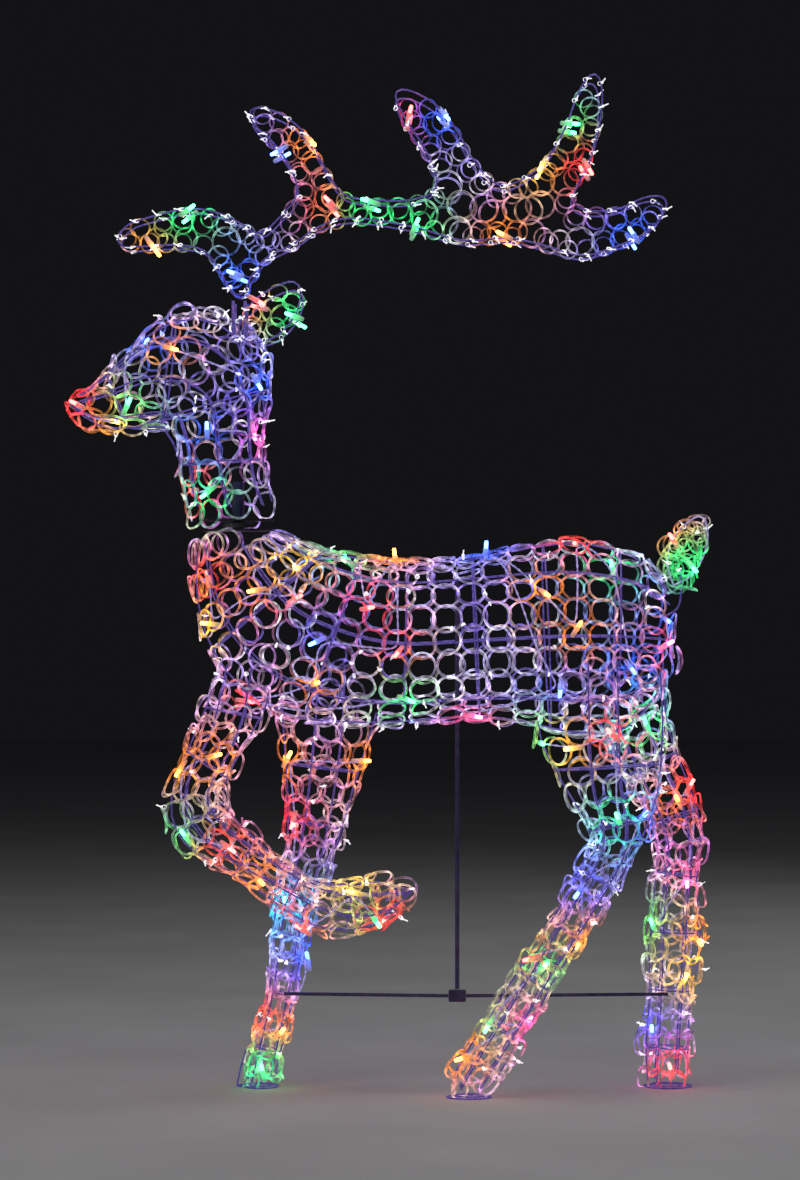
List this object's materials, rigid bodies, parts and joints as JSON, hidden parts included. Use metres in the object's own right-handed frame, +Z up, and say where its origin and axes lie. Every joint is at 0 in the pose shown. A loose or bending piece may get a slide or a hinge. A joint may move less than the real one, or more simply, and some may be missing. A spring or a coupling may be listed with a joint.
{
  "type": "light up yard reindeer",
  "caption": "Standing wire-frame reindeer dressed in clear tube rings and coloured lamps, with a turning head, lift-off antlers and a T-shaped stand.",
  "frame": {"origin": "on the ground under the middle of the deer's box", "axes": "+Z up, the deer looks along -X, +Y is its left side"},
  "size_m": [0.8781, 0.22, 1.4003],
  "materials": {
    "tube_rings": "clear gloss plastic tube",
    "frame_wire": "white satin coat",
    "lamp_string": "clear cable with coloured lamps",
    "dark_plate": "moulded",
    "washer": "moulded",
    "stand_steel": "dark satin coat"
  },
  "bodies": {
    "torso": {"torso_frame": "frame_wire", "torso_ring_skin": "tube_rings", "torso_light_string": "lamp_string", "front_right_leg_frame": "frame_wire", "front_right_leg_ring_skin": "tube_rings", "front_right_leg_light_string": "lamp_string", "front_left_leg_frame": "frame_wire", "front_left_leg_ring_skin": "tube_rings", "front_left_leg_light_string": "lamp_string", "rear_right_leg_frame": "frame_wire", "rear_right_leg_ring_skin": "tube_rings", "rear_right_leg_light_string": "lamp_string", "rear_left_leg_frame": "frame_wire", "rear_left_leg_ring_skin": "tube_rings", "rear_left_leg_light_string": "lamp_string", "front_left_foot_hoop": "frame_wire", "rear_right_foot_hoop": "frame_wire", "rear_left_foot_hoop": "frame_wire", "tail_ring_skin": "tube_rings", "tail_clip": "frame_wire", "torso_neck_plate": "dark_plate", "neck_pivot_pin": "frame_wire", "stand_post": "stand_steel", "stand_joint": "dark_plate", "stand_rail_front": "stand_steel", "stand_rail_rear": "stand_steel"},
    "neck_washer": {"neck_washer": "washer"},
    "head": {"head_frame": "frame_wire", "head_ring_skin": "tube_rings", "head_light_string": "lamp_string", "head_neck_plate": "dark_plate", "ear_left_frame": "frame_wire", "ear_left_ring_panel": "tube_rings", "ear_right_frame": "frame_wire", "ear_right_ring_panel": "tube_rings"},
    "antler_left": {"antler_left_frame": "frame_wire", "antler_left_ring_panel": "tube_rings", "antler_left_light_string": "lamp_string", "antler_left_rod_1": "frame_wire", "antler_left_rod_2": "frame_wire"},
    "antler_right": {"antler_right_frame": "frame_wire", "antler_right_ring_panel": "tube_rings", "antler_right_light_string": "lamp_string", "antler_right_rod_1": "frame_wire", "antler_right_rod_2": "frame_wire"}
  },
  "joints": [
    {"name": "head_lift", "type": "slide", "parent": "torso", "child": "neck_washer", "axis": [0, 0, 1], "range_m": [0, 0.05]},
    {"name": "head_turn", "type": "hinge", "parent": "neck_washer", "child": "head", "pos_m": [-0.21, 0, 0.78], "axis": [0, 0, 1], "range_deg": [-30, 30]},
    {"name": "antler_left_pull", "type": "slide", "parent": "head", "child": "antler_left", "axis": [0, 0, 1], "range_m": [0, 0.045]},
    {"name": "antler_right_pull", "type": "slide", "parent": "head", "child": "antler_right", "axis": [0, 0, 1], "range_m": [0, 0.045]}
  ]
}
